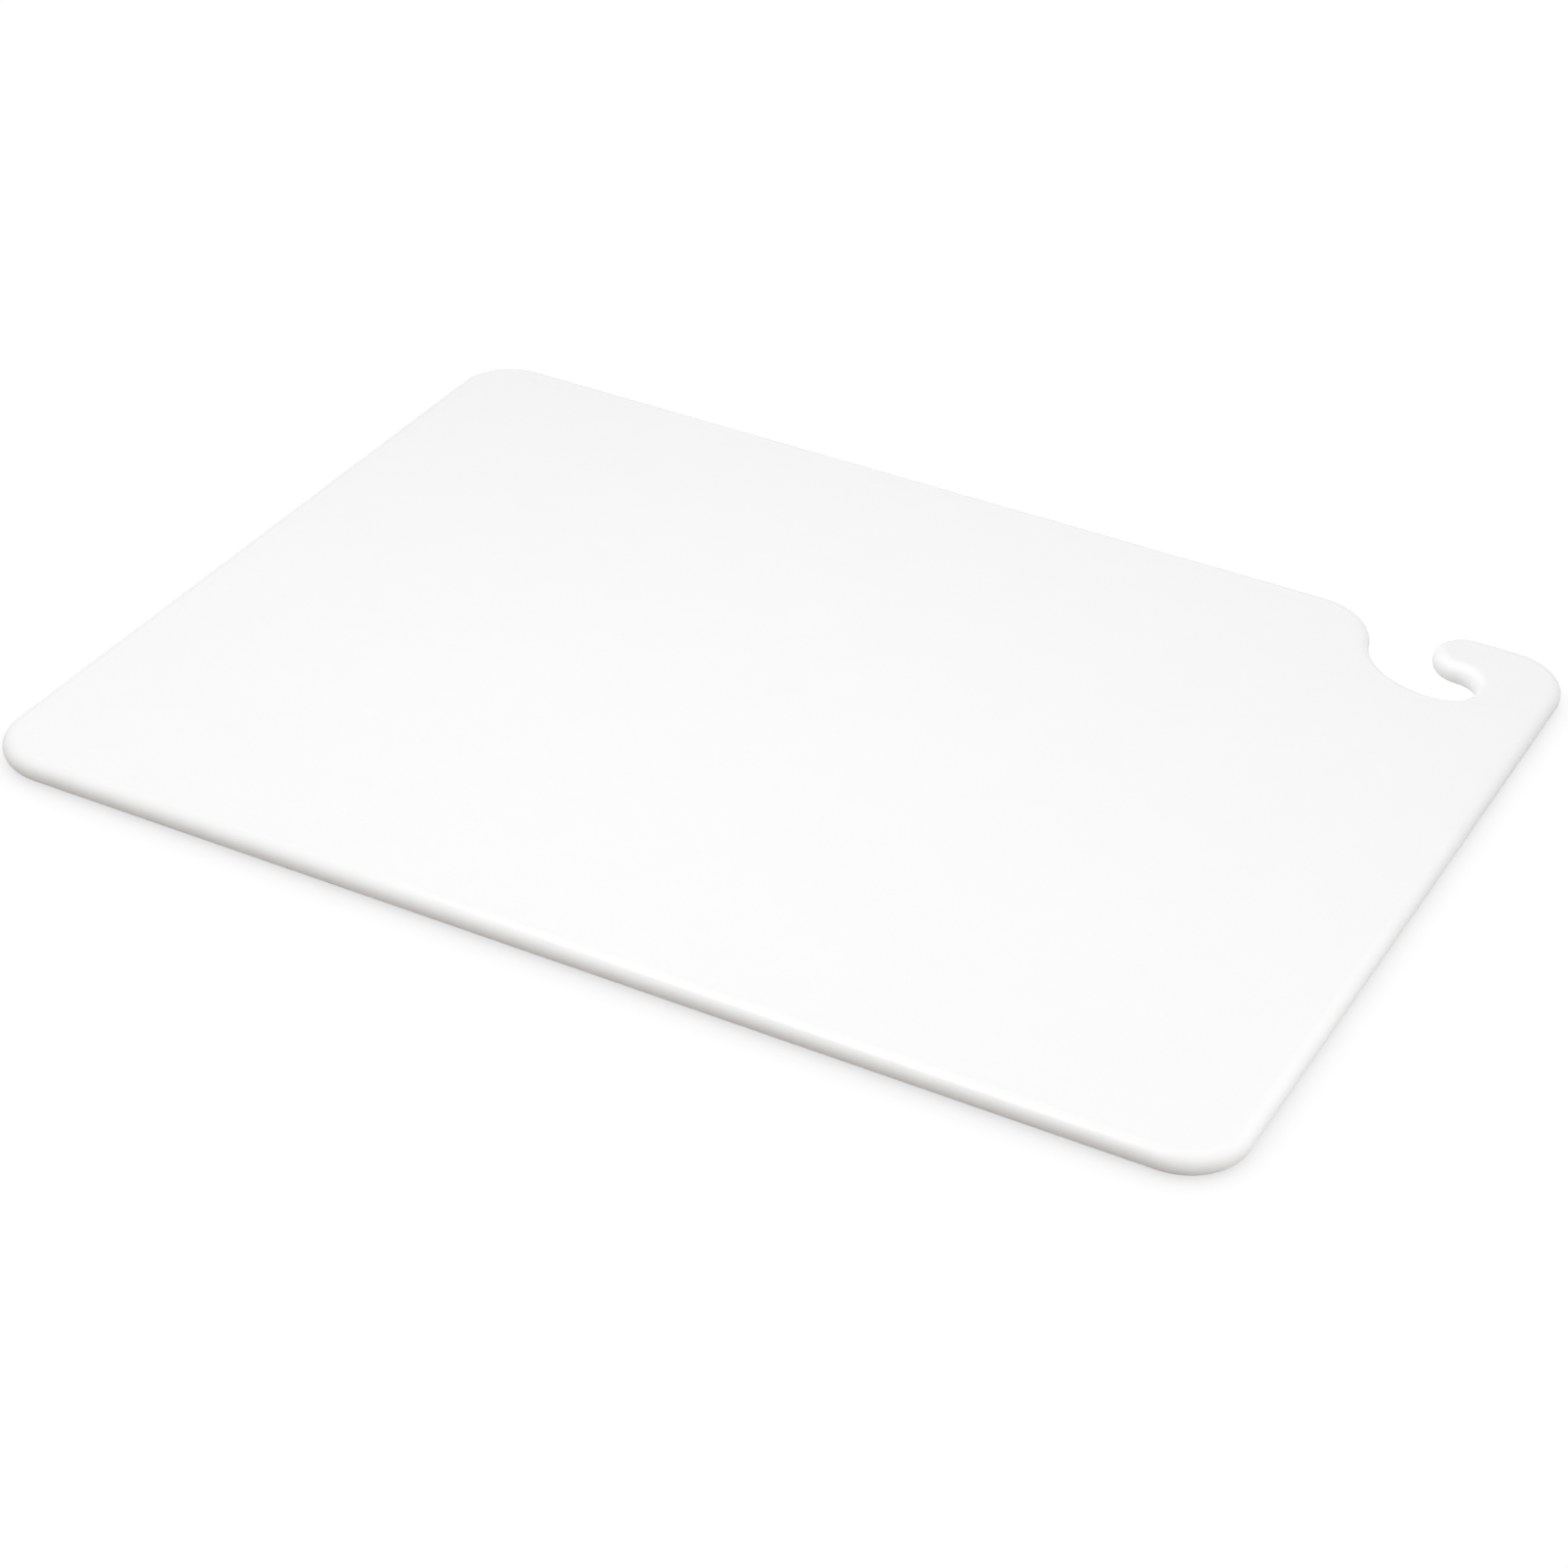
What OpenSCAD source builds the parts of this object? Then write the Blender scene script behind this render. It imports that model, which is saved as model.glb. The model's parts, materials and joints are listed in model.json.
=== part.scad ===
// One-piece kitchen cutting board with a hanging hook moulded into its back right corner.
// Millimetres. The board lies flat: length along X, width along Y, thickness along Z.
// The origin is at the centre of the underside, and the hook's mouth opens on the +Y edge.

/* [Board] */
// Length of the board, from the left edge to the right edge
board_l = 609.6; // [400:0.1:900]
// Width of the board, from the front edge to the back edge
board_w = 457.2; // [250:0.1:600]
// Thickness of the board: every edge is fully rounded to half of it
board_t = 12.7; // [8:0.1:18]
// Radius of the four corners, seen from above
corner_r = 30; // [20:1:45]

/* [Hanging hook] */
// One unit of the 16, 63, 65 triangle that sets the hook's size and leans its mouth
hook_unit = 1.25; // [1.15:0.05:1.5]
// Width of the slot that hangs on a bar
slot_w = 30; // [20:1:36]
// Board left between the slot's closed end and the right edge
slot_wall = 37; // [30:1:60]
// Radius of the throat, where the mouth turns into the slot
throat_r = 47; // [40:1:52]

/* [Hidden] */
$fn = 128;

half_l = board_l / 2;
half_w = board_w / 2;
edge_r = board_t / 2;
// Flat strip behind each rounded edge, which overlaps the core by half of its width
strip = 3;
// How far the mouth's cutting shape and the masks reach past the board
spare = 10;

// Steps from the throat's centre to the shoulder's centre, along the three sides of the triangle
rise = 16 * hook_unit;
run = 63 * hook_unit;
reach = 65 * hook_unit;

// The prong is what the slot leaves of the hook's depth, and its tip is a half circle
prong_w = reach - rise - slot_w;
tip_r = prong_w / 2;
slot_r = slot_w / 2;
shoulder_r = reach - throat_r;

// Centres of the hook's four arcs: each arc is tangent to the next one
hook_x = half_l - slot_wall - slot_r;
tip = [hook_x, half_w - tip_r];
slot = [hook_x, half_w - prong_w - slot_r];
throat = [hook_x, half_w - prong_w - slot_w + throat_r];
shoulder = [hook_x - run, half_w - shoulder_r];

// The shoulder's arc and the throat's arc lie on opposite sides of the line through their centres
shoulder_side = [shoulder, throat, [throat[0], half_w + spare], [shoulder[0], half_w + spare]];
throat_side = [throat, shoulder, [shoulder[0], 0], [throat[0], 0]];

// Section of the rounded edge: the outline is at x = 0 and the board lies towards +X
module edge_section() {
    intersection() {
        translate([edge_r, edge_r])
            circle(edge_r);
        square([edge_r, board_t]);
    }
    translate([edge_r, 0])
        square([strip, board_t]);
}

// Rounded edge along a straight side, with the board on the left of its heading
module side_edge(from, heading, length) {
    translate(from)
        rotate([90, 0, 90 + heading])
            linear_extrude(length)
                edge_section();
}

// Rounded edge of an arc that the board fills
module convex_edge(centre, radius, start = 0, angle = 360) {
    translate(centre)
        rotate_extrude(start = start, angle = angle)
            translate([radius, 0])
                mirror([1, 0])
                    edge_section();
}

// Rounded edge of an arc that the board surrounds
module concave_edge(centre, radius, start = 0, angle = 360) {
    translate(centre)
        rotate_extrude(start = start, angle = angle)
            translate([radius, 0])
                edge_section();
}

// Keeps the part of an edge that stands over one area
module keep_over(area) {
    intersection() {
        children();
        translate([0, 0, -spare])
            linear_extrude(board_t + 2 * spare)
                polygon(area);
    }
}

// Rounded edge all the way round the outline, anticlockwise from the front left corner
module rim() {
    corner_x = half_l - corner_r;
    corner_y = half_w - corner_r;

    side_edge([-corner_x, -half_w], 0, 2 * corner_x);
    convex_edge([corner_x, -corner_y], corner_r, 270, 90);
    side_edge([half_l, -corner_y], 90, 2 * corner_y);
    convex_edge([corner_x, corner_y], corner_r, 0, 90);

    side_edge([corner_x, half_w], 180, corner_x - hook_x);
    convex_edge(tip, tip_r, 90, 180);
    concave_edge(slot, slot_r, -90, 180);
    keep_over(throat_side)
        concave_edge(throat, throat_r);
    keep_over(shoulder_side)
        convex_edge(shoulder, shoulder_r);

    side_edge([shoulder[0], half_w], 180, shoulder[0] + corner_x);
    convex_edge([-corner_x, corner_y], corner_r, 90, 90);
    side_edge([-half_l, corner_y], 270, 2 * corner_y);
    convex_edge([-corner_x, -corner_y], corner_r, 180, 90);
}

// Rounded rectangle of the board, drawn in from the outline by inset
module slab_area(inset) {
    square([board_l - 2 * corner_r, board_w - 2 * inset], center = true);
    square([board_l - 2 * inset, board_w - 2 * corner_r], center = true);
    for (x = [-1, 1], y = [-1, 1])
        translate([x * (half_l - corner_r), y * (half_w - corner_r)])
            circle(corner_r - inset);
}

// Mouth, throat and slot of the hook, grown past the outline by inset
module hook_area(inset) {
    difference() {
        union() {
            polygon(shoulder_side);
            intersection() {
                polygon(throat_side);
                translate(throat)
                    circle(throat_r + inset);
            }
            translate(slot)
                circle(slot_r + inset);
        }
        translate(shoulder)
            circle(shoulder_r - inset);
        translate(tip)
            circle(tip_r - inset);
    }
}

// Flat middle of the board, which ends inside the rim's flat strip
module core() {
    inset = edge_r + strip / 2;
    linear_extrude(board_t)
        difference() {
            slab_area(inset);
            hook_area(inset);
        }
}

module board() {
    color([0.94, 0.95, 0.94]) {
        core();
        rim();
    }
}

board();
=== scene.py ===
"""A white moulded cutting board with a hanging hook in one corner, on a white floor in soft light."""
import json
import math

import bmesh
import bpy
from mathutils import Matrix, Vector
from mathutils.geometry import delaunay_2d_cdt


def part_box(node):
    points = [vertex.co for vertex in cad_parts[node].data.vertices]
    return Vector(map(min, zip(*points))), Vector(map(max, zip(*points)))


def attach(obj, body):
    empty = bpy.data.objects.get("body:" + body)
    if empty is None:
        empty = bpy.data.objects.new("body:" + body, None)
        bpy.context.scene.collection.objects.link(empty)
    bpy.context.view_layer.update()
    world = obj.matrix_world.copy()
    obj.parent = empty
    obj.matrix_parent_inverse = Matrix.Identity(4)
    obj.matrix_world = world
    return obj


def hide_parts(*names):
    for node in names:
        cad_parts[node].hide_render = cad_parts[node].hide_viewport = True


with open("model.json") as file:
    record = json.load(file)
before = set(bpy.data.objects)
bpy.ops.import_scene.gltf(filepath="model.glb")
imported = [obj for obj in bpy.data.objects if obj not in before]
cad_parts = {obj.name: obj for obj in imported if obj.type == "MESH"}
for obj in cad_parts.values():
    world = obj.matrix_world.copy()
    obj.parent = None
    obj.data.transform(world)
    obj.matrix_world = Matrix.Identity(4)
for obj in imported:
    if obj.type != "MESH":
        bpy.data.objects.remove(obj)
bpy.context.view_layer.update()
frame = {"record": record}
BOARD_LOW, BOARD_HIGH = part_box("board")
HOOK = Vector(next(m for m in frame["record"]["mounts"] if m["name"] == "hanging_hook")["pos_m"])

# The board's own shape, in metres. Its length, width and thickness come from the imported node.
CORNER_R = 0.030
SLOT_R = 0.015
PRONG_TIP_R = 0.015625
THROAT_R = 0.047
SHOULDER_R = 0.03425
THROAT_RISE, THROAT_RUN = 0.020, 0.07875    # from the throat's centre to the shoulder's

# How finely the mesh follows that shape.
ARC_STEP = math.radians(3)
LINE_STEP = 0.012
RIM_STEPS = 24
GRID_STEP = 0.012
GRID_MARGIN = 0.006
CDT_INSIDE = 1    # delaunay_2d_cdt keeps only the triangles inside the ring
CDT_MERGE = 1e-7

# The plastic. A noise's scale is how many of its waves fit in a metre.
PLASTIC_IOR, PLASTIC_SPECULAR = 1.5, 0.2
PLASTIC_COLOURS = (0.866, 0.872, 0.868, 1), (0.874, 0.878, 0.875, 1)
MOTTLE_SCALE, MOTTLE_DETAIL = 34, 3
HAZE_SCALE, HAZE_DETAIL = 210, 2
GRAIN_SCALE, GRAIN_DETAIL = 1500, 2
NOISE_FALLOFF = 0.5
NOISE_LOW, NOISE_HIGH = 0.3, 0.7    # most of a noise's values lie between these
RIM_ROUGHNESS, FACE_ROUGHNESS = 0.36, 0.46
HAZE_ROUGHNESS, GRAIN_ROUGHNESS = 0.04, 0.03    # how far each noise moves the roughness, up and down
GRAIN_HEIGHT = 0.00006
RIM_GRAIN = 0.25    # the grain's height on the rim, as a part of its height on the faces
RIM_UPRIGHT, FACE_UPRIGHT = 0.90, 0.995    # the normal's z where the rim ends and where the face starts

# The camera: where it stands round the board, and where the board's centre falls in its view.
AZIMUTH, ELEVATION, ROLL = math.radians(25.385), math.radians(32.869), math.radians(3.348)
CENTRE_IN_VIEW = Vector((0.00899, 0.03234, -1.89348))
LENS_MM, SENSOR_MM = 92.757, 36.0

# The floor, and its glow in the open and in its painted shadow, where the board hides everything above it.
FLOOR_REACH = 20.0
FLOOR_OPEN, FLOOR_SHADED = 1.035, 0.675
SHADOW_REACH, SHADOW_SAMPLES = 0.2, 16
SHADOW_LEAN = 0.36    # how far the floor's view of the sky leans outwards, per metre to the left or right
CLEAR_MIDDLE = HOOK + Vector((-0.0308, -0.00435, 0))    # the painted shadow is left off the floor seen through the hook
CLEAR_HALF = (0.052, 0.046, 1)
CLEAR_FADE = 1.15    # where the painted shadow is whole again, in half widths from the middle

# The lamps.
KEY_PLACE, KEY_SIZE, KEY_POWER = (-0.037, -0.230, 1.373), (1.0, 1.0), 9.65
FILL_PLACE, FILL_SIZE, FILL_POWER = (0.629, -0.229, 0.063), (0.08, 0.08), 0.215
BOUNCE_PLACE = HOOK + Vector((-0.0148, -0.00735, -0.06135))
BOUNCE_TARGET = HOOK + Vector((0, 0.01565, -0.00035))
BOUNCE_SIZE, BOUNCE_POWER, BOUNCE_COLOUR = (0.03, 0.03), 0.0175, (0.87, 0.94, 1.0)
GLEAM_PLACE, GLEAM_SIZE, GLEAM_POWER = (0.0, -0.37, 0.305), (0.80, 0.10), 0.52
GLEAM_TARGET, GLEAM_SPREAD = (0.124, BOARD_LOW.y, 0), math.radians(50)

# The room: its walls are brightest at the floor, and what is below the floor glows more weakly.
WALL_LIGHT = 2.020
WALL_FADE = (0, 0, -WALL_LIGHT)
LOW_WALL_GLOSS = 0.25    # how much of the low walls shows in reflections
LOW_WALL_TOP, HIGH_WALL_START = 0.35, 0.50
GLOW_LIGHT, GLOW_TILT = 0.345, (-0.241, 0.634, 0)
WARM_TILT, WARM_COLOUR = (0, -0.615, -0.788), (0.131, 0.080, 0.049)

BLACK, WHITE = (0, 0, 0, 1), (1, 1, 1, 1)


class Outline:
    """A closed line round the board at mid-height, walked anticlockwise, with the way out at each point."""

    def __init__(self):
        self.points = []
        self.outward = []

    def line(self, start, end):
        start, end = Vector(start), Vector(end)
        along = (end - start).normalized()
        steps = max(1, round((end - start).length / LINE_STEP))
        for i in range(steps):
            self.points.append(start.lerp(end, i / steps))
            self.outward.append(Vector((along.y, -along.x)))

    def arc(self, centre, radius, start, end):
        """An arc between two headings. It bulges where it turns left and is hollow where it turns right."""
        steps = max(1, round(abs(end - start) / ARC_STEP))
        side = 1 if end > start else -1
        for i in range(steps):
            heading = start + (end - start) * i / steps
            ray = Vector((math.cos(heading), math.sin(heading)))
            self.points.append(Vector(centre) + radius * ray)
            self.outward.append(side * ray)

    def inset(self, depth):
        return [p - depth * n for p, n in zip(self.points, self.outward)]


def board_outline():
    """The outline from the front edge anticlockwise, with the hook on its way along the back edge."""
    left, front = BOARD_LOW.x, BOARD_LOW.y
    right, back = BOARD_HIGH.x, BOARD_HIGH.y
    quarter = math.pi / 2
    tip = Vector((HOOK.x, back - PRONG_TIP_R))

    path = Outline()
    path.line((left + CORNER_R, front), (right - CORNER_R, front))
    path.arc((right - CORNER_R, front + CORNER_R), CORNER_R, -quarter, 0)
    path.line((right, front + CORNER_R), (right, back - CORNER_R))
    path.arc((right - CORNER_R, back - CORNER_R), CORNER_R, 0, quarter)
    path.line((right - CORNER_R, back), (tip.x, back))
    shoulder = hook_outline(path, tip)
    path.line((shoulder.x, back), (left + CORNER_R, back))
    path.arc((left + CORNER_R, back - CORNER_R), CORNER_R, quarter, 2 * quarter)
    path.line((left, back - CORNER_R), (left, front + CORNER_R))
    path.arc((left + CORNER_R, front + CORNER_R), CORNER_R, 2 * quarter, 3 * quarter)
    return path


def hook_outline(path, tip):
    """Adds the prong's tip, the slot, the throat and the shoulder. It gives back the shoulder's centre."""
    slot = Vector((tip.x, tip.y - PRONG_TIP_R - SLOT_R))
    throat = Vector((tip.x, slot.y - SLOT_R + THROAT_R))
    shoulder = throat + Vector((-THROAT_RUN, -THROAT_RISE))
    join = math.atan2(THROAT_RISE, THROAT_RUN)
    quarter = math.pi / 2
    path.arc(tip, PRONG_TIP_R, quarter, 3 * quarter)
    path.arc(slot, SLOT_R, quarter, -quarter)
    path.arc(throat, THROAT_R, 3 * quarter, 2 * quarter + join)
    path.arc(shoulder, SHOULDER_R, join, quarter)
    return shoulder


def inside(point, ring):
    """Whether a point is inside a closed ring of points."""
    crossings = 0
    for a, b in zip(ring, ring[1:] + ring[:1]):
        if (a.y > point.y) != (b.y > point.y):
            crossings += point.x < a.x + (b.x - a.x) * (point.y - a.y) / (b.y - a.y)
    return crossings % 2 == 1


def face_grid(ring):
    """Points in staggered rows over the flat face, clear of its rim."""
    row_step = GRID_STEP * math.sqrt(3) / 2
    columns = int((BOARD_HIGH.x - BOARD_LOW.x) / GRID_STEP) + 2
    rows = int((BOARD_HIGH.y - BOARD_LOW.y) / row_step) + 2
    found = []
    for row in range(rows):
        for column in range(columns):
            x = BOARD_LOW.x + (column + 0.5 * (row % 2)) * GRID_STEP
            point = Vector((x, BOARD_LOW.y + row * row_step))
            if inside(point, ring) and min((point - p).length for p in ring) > GRID_MARGIN:
                found.append(point)
    return found


class Skin:
    """The board's mesh while it is built, with the true normal of every vertex."""

    def __init__(self):
        self.bm = bmesh.new()
        self.normals = []
        self.radius = (BOARD_HIGH.z - BOARD_LOW.z) / 2
        self.mid = (BOARD_HIGH.z + BOARD_LOW.z) / 2

    def add(self, point, up, normal):
        """A vertex at a height of up radii from the board's mid-height."""
        self.normals.append(normal)
        return self.bm.verts.new((point.x, point.y, self.mid + self.radius * up))

    def rim(self, path):
        """Sweeps the half-round rim along the outline, and gives back its lowest and highest rings."""
        rings = []
        for step in range(RIM_STEPS + 1):
            lean = math.pi * (step / RIM_STEPS - 0.5)
            out, up = math.cos(lean), math.sin(lean)
            ring = path.inset(self.radius * (1 - out))
            rings.append([self.add(p, up, (n.x * out, n.y * out, up)) for p, n in zip(ring, path.outward)])
        for lower, upper in zip(rings, rings[1:]):
            for i in range(len(lower)):
                j = (i + 1) % len(lower)
                self.bm.faces.new((lower[i], lower[j], upper[j], upper[i]))
        return rings[0], rings[-1]

    def flats(self, path, lowest, highest):
        """Fills both rings with the same evenly divided flat face."""
        rim = path.inset(self.radius)
        count = len(rim)
        loop = [(i, (i + 1) % count) for i in range(count)]
        net = delaunay_2d_cdt(rim + face_grid(rim), loop, [], CDT_INSIDE, CDT_MERGE)
        places, _, triangles, sources, _, _ = net
        for ring, side in ((lowest, -1), (highest, 1)):
            verts = [
                ring[source[0]] if source and source[0] < count else self.add(place, side, (0, 0, side))
                for place, source in zip(places, sources)
            ]
            for triangle in triangles:
                self.bm.faces.new([verts[i] for i in triangle[::side]])

    def finished(self, name):
        """The mesh as an object in the scene."""
        mesh = bpy.data.meshes.new(name)
        self.bm.to_mesh(mesh)
        self.bm.free()
        mesh.polygons.foreach_set("use_smooth", [True] * len(mesh.polygons))
        mesh.normals_split_custom_set_from_vertices(self.normals)
        made = bpy.data.objects.new(name, mesh)
        bpy.context.scene.collection.objects.link(made)
        return made


def moulded_board():
    """The board as one closed mesh: a half-round rim, and a flat face on each side of it."""
    path = board_outline()
    skin = Skin()
    lowest, highest = skin.rim(path)
    skin.flats(path, lowest, highest)
    return skin.finished("moulded_board")


class Shading:
    """The nodes of a material or a world. Each value passed in is a constant or another node's output."""

    def __init__(self, owner):
        owner.use_nodes = True
        self.nodes = owner.node_tree.nodes
        self.links = owner.node_tree.links

    def put(self, value, socket):
        if isinstance(value, bpy.types.NodeSocket):
            self.links.new(value, socket)
        else:
            socket.default_value = value

    def coordinates(self, kind):
        return self.nodes.new("ShaderNodeTexCoord").outputs[kind]

    def parts(self, vector):
        """The outputs X, Y and Z of a vector."""
        node = self.nodes.new("ShaderNodeSeparateXYZ")
        self.put(vector, node.inputs["Vector"])
        return node.outputs

    def number(self, operation, *values):
        node = self.nodes.new("ShaderNodeMath")
        node.operation = operation
        for value, socket in zip(values, node.inputs):
            self.put(value, socket)
        return node.outputs["Value"]

    def vector(self, operation, *values):
        node = self.nodes.new("ShaderNodeVectorMath")
        node.operation = operation
        for value, socket in zip(values, node.inputs):
            self.put(value, socket)
        return node.outputs["Value" if operation == "DOT_PRODUCT" else "Vector"]

    def ramp(self, value, start, end, low, high):
        """low up to where the value reaches start, high from where it reaches end, and a ramp between."""
        node = self.nodes.new("ShaderNodeMapRange")
        self.put(value, node.inputs["Value"])
        node.inputs["From Min"].default_value = start
        node.inputs["From Max"].default_value = end
        node.inputs["To Min"].default_value = low
        node.inputs["To Max"].default_value = high
        return node.outputs["Result"]

    def mix(self, kind, factor, a, b):
        node = self.nodes.new("ShaderNodeMix")
        node.data_type = kind
        self.put(factor, node.inputs["Factor"])
        self.put(a, node.inputs["A"])
        self.put(b, node.inputs["B"])
        return node.outputs["Result"]

    def noise(self, scale, detail):
        node = self.nodes.new("ShaderNodeTexNoise")
        node.inputs["Scale"].default_value = scale
        node.inputs["Detail"].default_value = detail
        node.inputs["Roughness"].default_value = NOISE_FALLOFF
        self.put(self.coordinates("Object"), node.inputs["Vector"])
        return node.outputs["Fac"]

    def swing(self, noise, amount):
        """A noise as a change of up to an amount either way."""
        return self.ramp(noise, NOISE_LOW, NOISE_HIGH, -amount, amount)


def white_plastic():
    """Satin moulded polyethylene: a faint mottle, a fine grain on the faces and smoother rounded edges."""
    mat = bpy.data.materials.new("white_plastic")
    net = Shading(mat)
    shader = net.nodes["Principled BSDF"]
    shader.inputs["IOR"].default_value = PLASTIC_IOR
    shader.inputs["Specular IOR Level"].default_value = PLASTIC_SPECULAR

    mottle = net.ramp(net.noise(MOTTLE_SCALE, MOTTLE_DETAIL), NOISE_LOW, NOISE_HIGH, 0.0, 1.0)
    net.put(net.mix("RGBA", mottle, *PLASTIC_COLOURS), shader.inputs["Base Color"])

    facing = net.parts(net.nodes.new("ShaderNodeNewGeometry").outputs["Normal"])
    on_face = net.ramp(net.number("ABSOLUTE", facing["Z"]), RIM_UPRIGHT, FACE_UPRIGHT, 0.0, 1.0)
    grain = net.noise(GRAIN_SCALE, GRAIN_DETAIL)
    haze = net.noise(HAZE_SCALE, HAZE_DETAIL)
    rough = net.ramp(on_face, 0.0, 1.0, RIM_ROUGHNESS, FACE_ROUGHNESS)
    rough = net.number("ADD", rough, net.swing(haze, HAZE_ROUGHNESS))
    rough = net.number("ADD", rough, net.swing(grain, GRAIN_ROUGHNESS))
    net.put(rough, shader.inputs["Roughness"])

    bump = net.nodes.new("ShaderNodeBump")
    bump.inputs["Distance"].default_value = GRAIN_HEIGHT
    bump.inputs["Strength"].default_value = 1.0
    height = net.number("MULTIPLY", grain, net.ramp(on_face, 0.0, 1.0, RIM_GRAIN, 1.0))
    net.put(height, bump.inputs["Height"])
    net.put(bump.outputs["Normal"], shader.inputs["Normal"])
    return mat


def open_sky(net):
    """How much of the sky each place on the floor sees, which sets how dark the floor's painted shadow is.
    The view leans outwards, to the left or right.
    """
    outward = net.vector("MULTIPLY_ADD", net.coordinates("Object"), (SHADOW_LEAN, 0, 0), (0, 0, 1))
    sky = net.nodes.new("ShaderNodeAmbientOcclusion")
    sky.samples = SHADOW_SAMPLES
    sky.inputs["Distance"].default_value = SHADOW_REACH
    net.put(net.vector("NORMALIZE", outward), sky.inputs["Normal"])
    return sky.outputs["AO"]


def seen_through_hook(net):
    """1 on the floor that shows through the hook, where the painted shadow is left out, and 0 a little way
    off it.
    """
    offset = net.vector("SUBTRACT", net.coordinates("Object"), CLEAR_MIDDLE)
    away = net.parts(net.vector("ABSOLUTE", net.vector("DIVIDE", offset, CLEAR_HALF)))
    return net.ramp(net.number("MAXIMUM", away["X"], away["Y"]), CLEAR_FADE, 1.0, 0.0, 1.0)


def floor_glow_painted_shadow():
    """A white that shines by itself, with a painted shadow: it shines less where something near it hides
    the sky.
    """
    mat = bpy.data.materials.new("floor_glow_painted_shadow")
    net = Shading(mat)
    shader = net.nodes["Principled BSDF"]
    shader.inputs["Base Color"].default_value = BLACK
    shader.inputs["Roughness"].default_value = 1.0
    shader.inputs["Specular IOR Level"].default_value = 0.0
    shader.inputs["Emission Color"].default_value = WHITE
    # painted shadow: the floor's glow is dimmed where the board hides the sky above it
    shade = net.ramp(open_sky(net), 0.0, 1.0, FLOOR_SHADED, FLOOR_OPEN)
    net.put(net.mix("FLOAT", seen_through_hook(net), shade, FLOOR_OPEN), shader.inputs["Emission Strength"])
    return mat


def studio_floor():
    """A wide plain floor that glows, with a painted soft shadow round the board. It doesn't light the board
    and shows in no reflection.
    """
    mesh = bpy.data.meshes.new("floor")
    corners = [(-1, -1), (1, -1), (1, 1), (-1, 1)]
    verts = [(x * FLOOR_REACH, y * FLOOR_REACH, BOARD_LOW.z) for x, y in corners]
    mesh.from_pydata(verts, [], [(0, 1, 2, 3)])
    floor = bpy.data.objects.new("floor", mesh)
    floor.data.materials.append(floor_glow_painted_shadow())
    floor.visible_diffuse = False
    floor.visible_glossy = False
    bpy.context.scene.collection.objects.link(floor)


def facing_along(net, toward, direction, light):
    """A light, plus the part of the direction looked in that lies along a vector, and never below 0."""
    total = net.number("ADD", net.vector("DOT_PRODUCT", toward, direction), light)
    return net.number("MAXIMUM", total, 0.0)


def studio_world():
    """White walls round a dark ceiling above the floor, and a dimmer warm glow below it. The low walls are
    dimmed in reflections, or the top face would look as white as the floor from low down."""
    world = bpy.data.worlds.new("studio")
    bpy.context.scene.world = world
    world.cycles.sampling_method = "NONE"
    net = Shading(world)
    background = net.nodes["Background"]
    toward = net.coordinates("Generated")
    height = net.parts(toward)["Z"]
    is_above = net.number("GREATER_THAN", height, 0.0)

    walls = facing_along(net, toward, WALL_FADE, WALL_LIGHT)
    glow = facing_along(net, toward, GLOW_TILT, GLOW_LIGHT)
    warm = net.vector("MULTIPLY", facing_along(net, toward, WARM_TILT, 0.0), WARM_COLOUR)
    below = net.vector("ADD", glow, warm)
    net.put(net.mix("RGBA", is_above, below, walls), background.inputs["Color"])

    low = net.ramp(height, LOW_WALL_TOP, HIGH_WALL_START, 1.0 - LOW_WALL_GLOSS, 0.0)
    reflected = net.nodes.new("ShaderNodeLightPath").outputs["Is Glossy Ray"]
    hidden = net.number("MULTIPLY", net.number("MULTIPLY", low, is_above), reflected)
    net.put(net.number("SUBTRACT", 1.0, hidden), background.inputs["Strength"])


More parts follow.
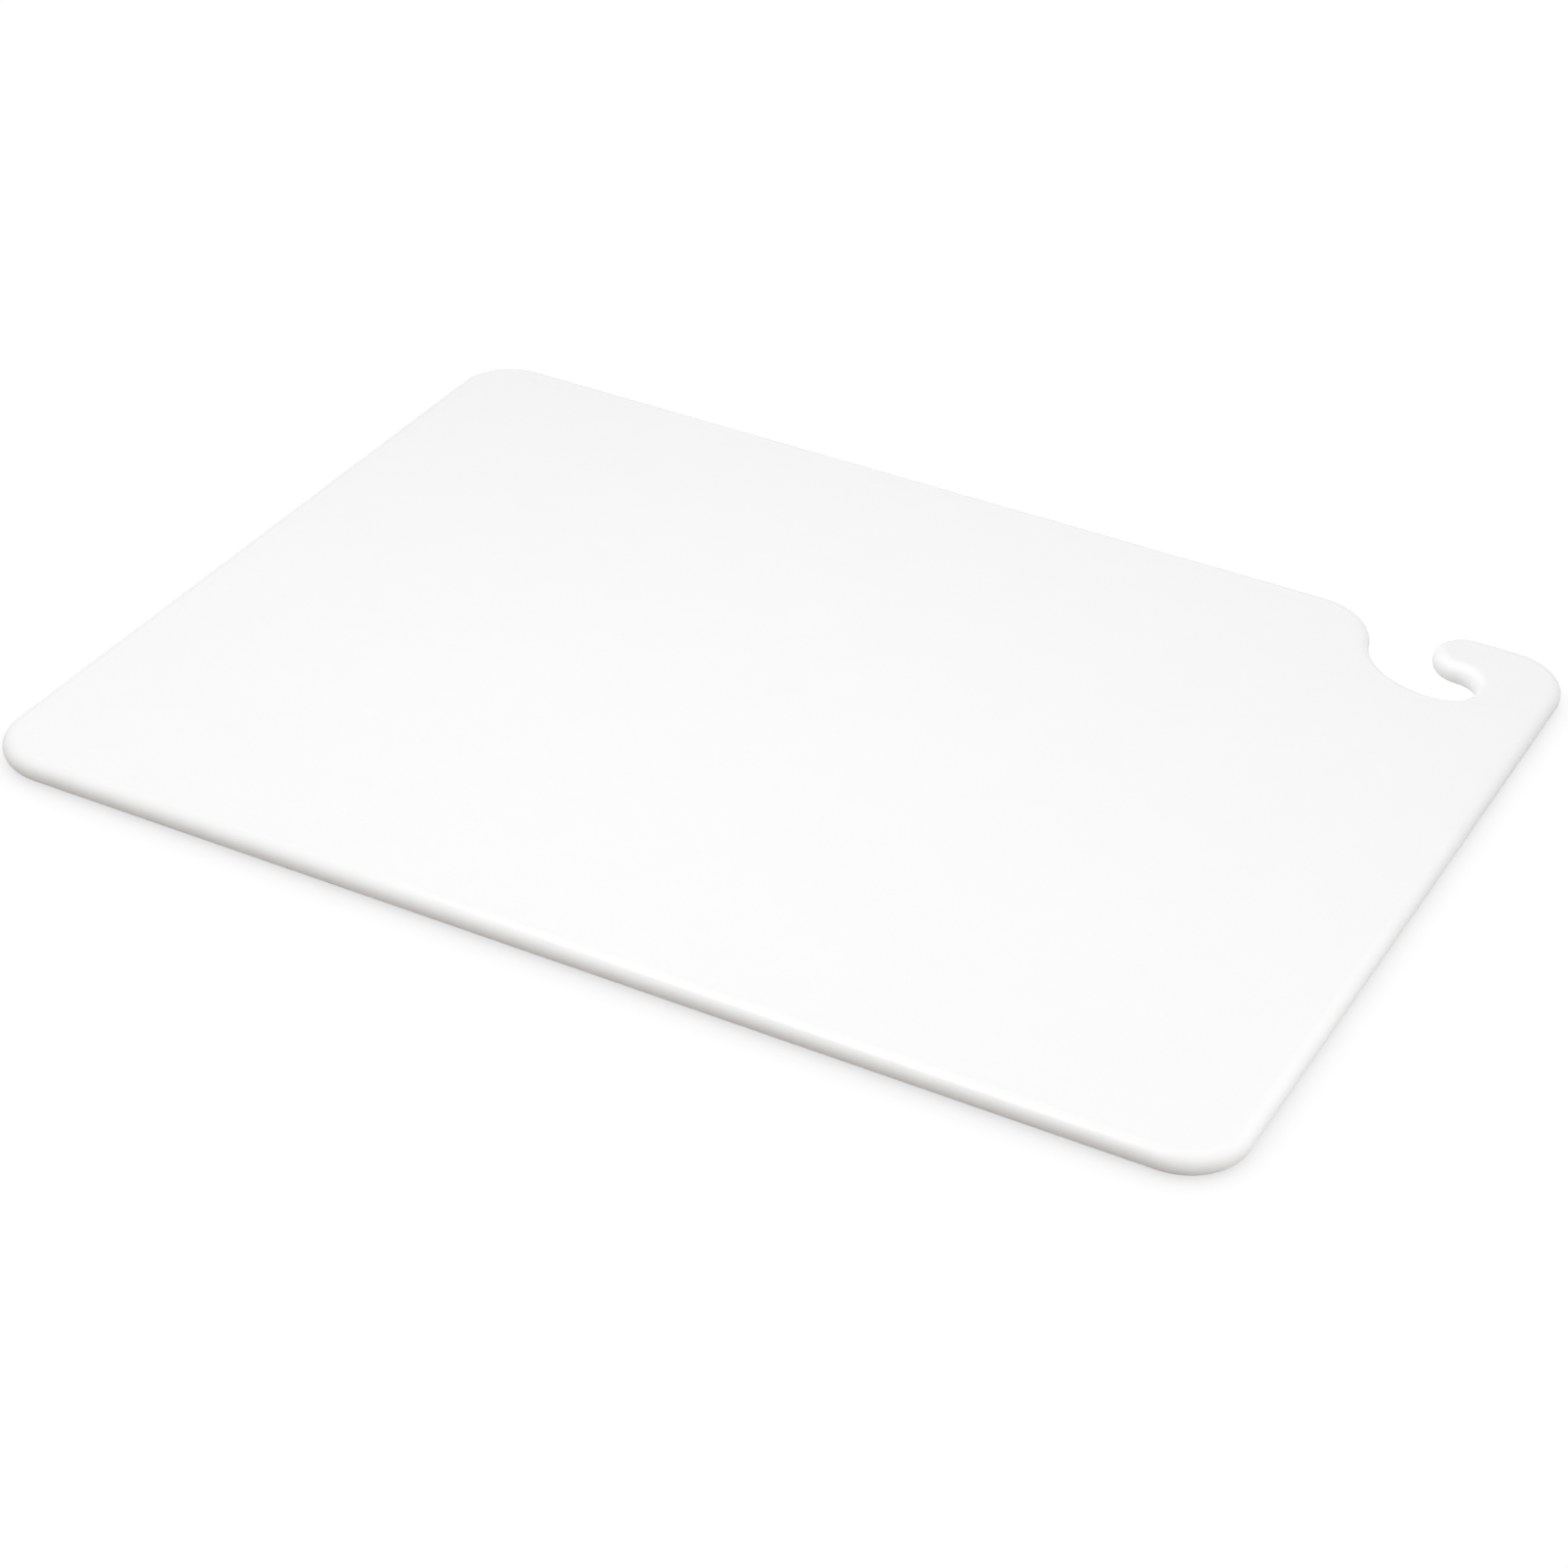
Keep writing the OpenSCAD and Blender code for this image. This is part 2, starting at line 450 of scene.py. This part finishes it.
def softbox(name, place, size, power, lit, target=(0, 0, 0), colour=(1, 1, 1)):
    """An area light aimed at a point. It lights, and is shaded by, only what is in the collection lit."""
    lamp = bpy.data.lights.new(name, "AREA")
    lamp.shape = "RECTANGLE"
    lamp.size, lamp.size_y = size
    lamp.energy = power
    lamp.color = colour
    holder = bpy.data.objects.new(name, lamp)
    holder.location = place
    holder.rotation_mode = "QUATERNION"
    holder.rotation_quaternion = (Vector(target) - Vector(place)).to_track_quat("-Z", "Y")
    holder.visible_camera = False
    holder.light_linking.receiver_collection = lit
    holder.light_linking.blocker_collection = lit
    bpy.context.scene.collection.objects.link(holder)
    return holder


def studio_lamps(board):
    """A key above, a fill at the right, a bounce from under the hook, and a gleam along the front edge."""
    lit = bpy.data.collections.new("lit_by_lamps")
    lit.objects.link(board)
    softbox("key", KEY_PLACE, KEY_SIZE, KEY_POWER, lit)
    fill = softbox("fill", FILL_PLACE, FILL_SIZE, FILL_POWER, lit)
    fill.visible_glossy = False
    bounce = softbox("bounce", BOUNCE_PLACE, BOUNCE_SIZE, BOUNCE_POWER, lit, BOUNCE_TARGET, BOUNCE_COLOUR)
    bounce.visible_glossy = False
    gleam = softbox("gleam", GLEAM_PLACE, GLEAM_SIZE, GLEAM_POWER, lit, GLEAM_TARGET)
    gleam.visible_diffuse = False
    gleam.data.spread = GLEAM_SPREAD


def camera():
    """A camera that looks down from the front right, with the board's centre where the photo has it."""
    back = Vector((
        math.sin(AZIMUTH) * math.cos(ELEVATION),
        -math.cos(AZIMUTH) * math.cos(ELEVATION),
        math.sin(ELEVATION),
    ))
    turn = (-back).to_track_quat("-Z", "Y").to_matrix().to_4x4() @ Matrix.Rotation(ROLL, 4, "Z")
    lens = bpy.data.cameras.new("camera")
    lens.lens = LENS_MM
    lens.sensor_width = SENSOR_MM
    holder = bpy.data.objects.new("camera", lens)
    centre = (BOARD_LOW + BOARD_HIGH) / 2
    holder.matrix_world = Matrix.Translation(centre - turn.to_3x3() @ CENTRE_IN_VIEW) @ turn
    bpy.context.scene.collection.objects.link(holder)
    bpy.context.scene.camera = holder


board = moulded_board()
board.data.materials.append(white_plastic())
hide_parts("board")
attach(board, "root")
studio_floor()
studio_world()
studio_lamps(board)
camera()
bpy.context.scene.view_settings.view_transform = "Standard"
